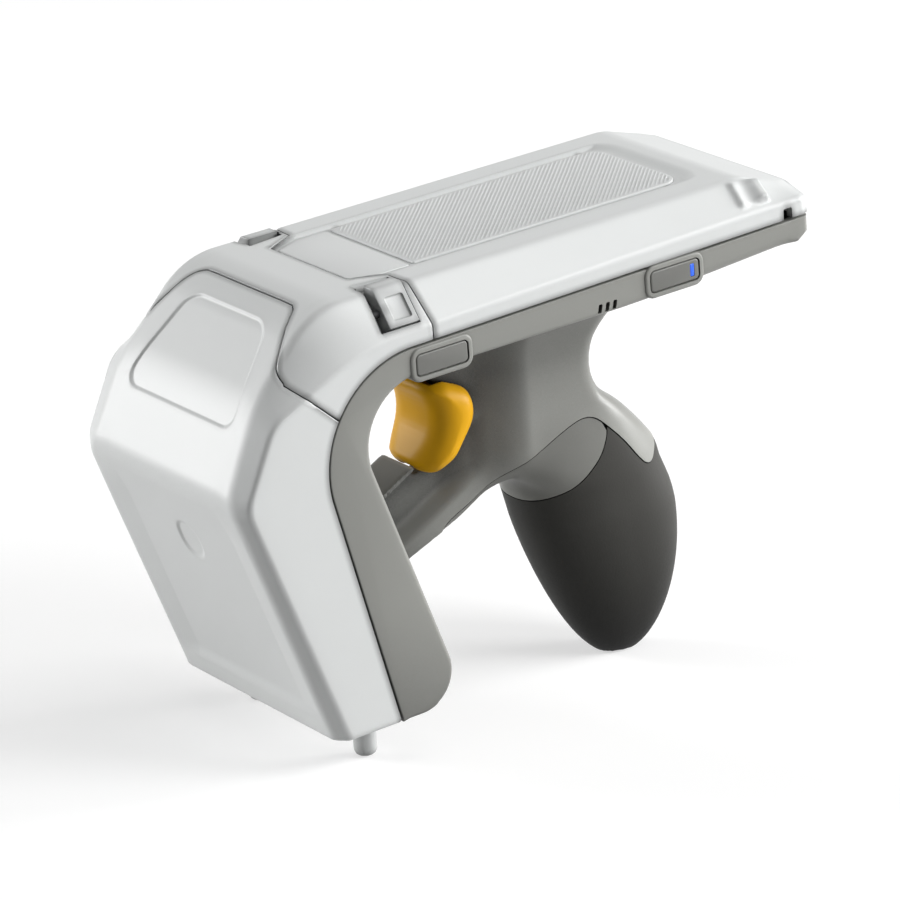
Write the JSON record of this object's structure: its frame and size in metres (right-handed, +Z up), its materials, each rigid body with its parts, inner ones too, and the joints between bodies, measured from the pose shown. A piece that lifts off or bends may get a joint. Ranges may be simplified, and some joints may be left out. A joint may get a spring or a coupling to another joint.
{
  "type": "rfid barcode sled",
  "caption": "Hand-held radio tag reader sled with a white hooked body, hinged deck cover, ribbed pad, amber trigger, side keys and a rubber pistol grip.",
  "frame": {"origin": "on the floor under the middle of the unit as it stands on its pegs and grip", "axes": "+X to the side that has the keys, +Y from the antenna face back along the deck, +Z up"},
  "size_m": [0.072, 0.1762, 0.1321],
  "materials": {
    "white_shell": "fine satin",
    "pad": "fine diagonal ribs",
    "plate": "smooth satin",
    "grey_shell": "fine satin",
    "key_grey": "satin",
    "collar_grey": "satin",
    "grip_rubber": "matte",
    "amber": "gloss",
    "lamp_blue": "clear gloss",
    "dark_plastic": "matte",
    "dark_rubber": "matte",
    "steel": "plain",
    "cell_wrap": "smooth wrap",
    "contact_brass": "plated",
    "board_green": "solder mask"
  },
  "bodies": {
    "base": {"hinge_pin": "steel", "front_hood": "white_shell", "latch_spring_left": "steel", "latch_spring_right": "steel", "antenna_cover": "white_shell", "head_back": "grey_shell", "tray": "grey_shell", "foot_pegs": "white_shell", "key_switches": "dark_plastic", "handle_frame": "grey_shell", "grip_collar": "collar_grey", "rubber_grip": "grip_rubber", "trigger_pin": "steel", "trigger_spring": "steel", "trigger_switch": "dark_plastic", "battery_tray": "dark_plastic", "battery": "cell_wrap", "battery_contacts": "contact_brass", "main_board": "board_green", "radio_module": "steel", "beeper": "dark_plastic", "board_screws": "steel", "antenna_board": "board_green", "ground_plate": "steel", "antenna_screws": "steel", "coax_lead": "dark_rubber"},
    "lid": {"top_cover": "white_shell", "texture_pad": "pad", "deck_plate": "plate", "cover_seal": "dark_rubber"},
    "latch_l": {"latch_left": "white_shell"},
    "latch_r": {"latch_right": "white_shell"},
    "trigger_arm": {"trigger": "amber"},
    "fn_key": {"fn_button": "key_grey"},
    "power_key": {"power_button": "key_grey", "led_lens": "lamp_blue"}
  },
  "joints": [
    {"name": "lid_hinge", "type": "hinge", "parent": "base", "child": "lid", "pos_m": [0, 0.08597, 0.12446], "axis": [-1, 0, 0], "range_deg": [0, 85]},
    {"name": "latch_left_slide", "type": "slide", "parent": "base", "child": "latch_l", "axis": [0, -0.9962, -0.0872], "range_m": [0, 0.002], "stiffness_N_per_m": 300},
    {"name": "latch_right_slide", "type": "slide", "parent": "base", "child": "latch_r", "axis": [0, -0.9962, -0.0872], "range_m": [0, 0.002], "stiffness_N_per_m": 300},
    {"name": "trigger_pivot", "type": "hinge", "parent": "base", "child": "trigger_arm", "pos_m": [0, -0.00904, 0.09527], "axis": [1, 0, 0], "range_deg": [0, 8], "stiffness_Nm_per_rad": 0.2},
    {"name": "fn_press", "type": "slide", "parent": "base", "child": "fn_key", "axis": [-1, 0, 0], "range_m": [0, 0.0006], "stiffness_N_per_m": 800},
    {"name": "power_press", "type": "slide", "parent": "base", "child": "power_key", "axis": [-1, 0, 0], "range_m": [0, 0.0006], "stiffness_N_per_m": 800}
  ]
}
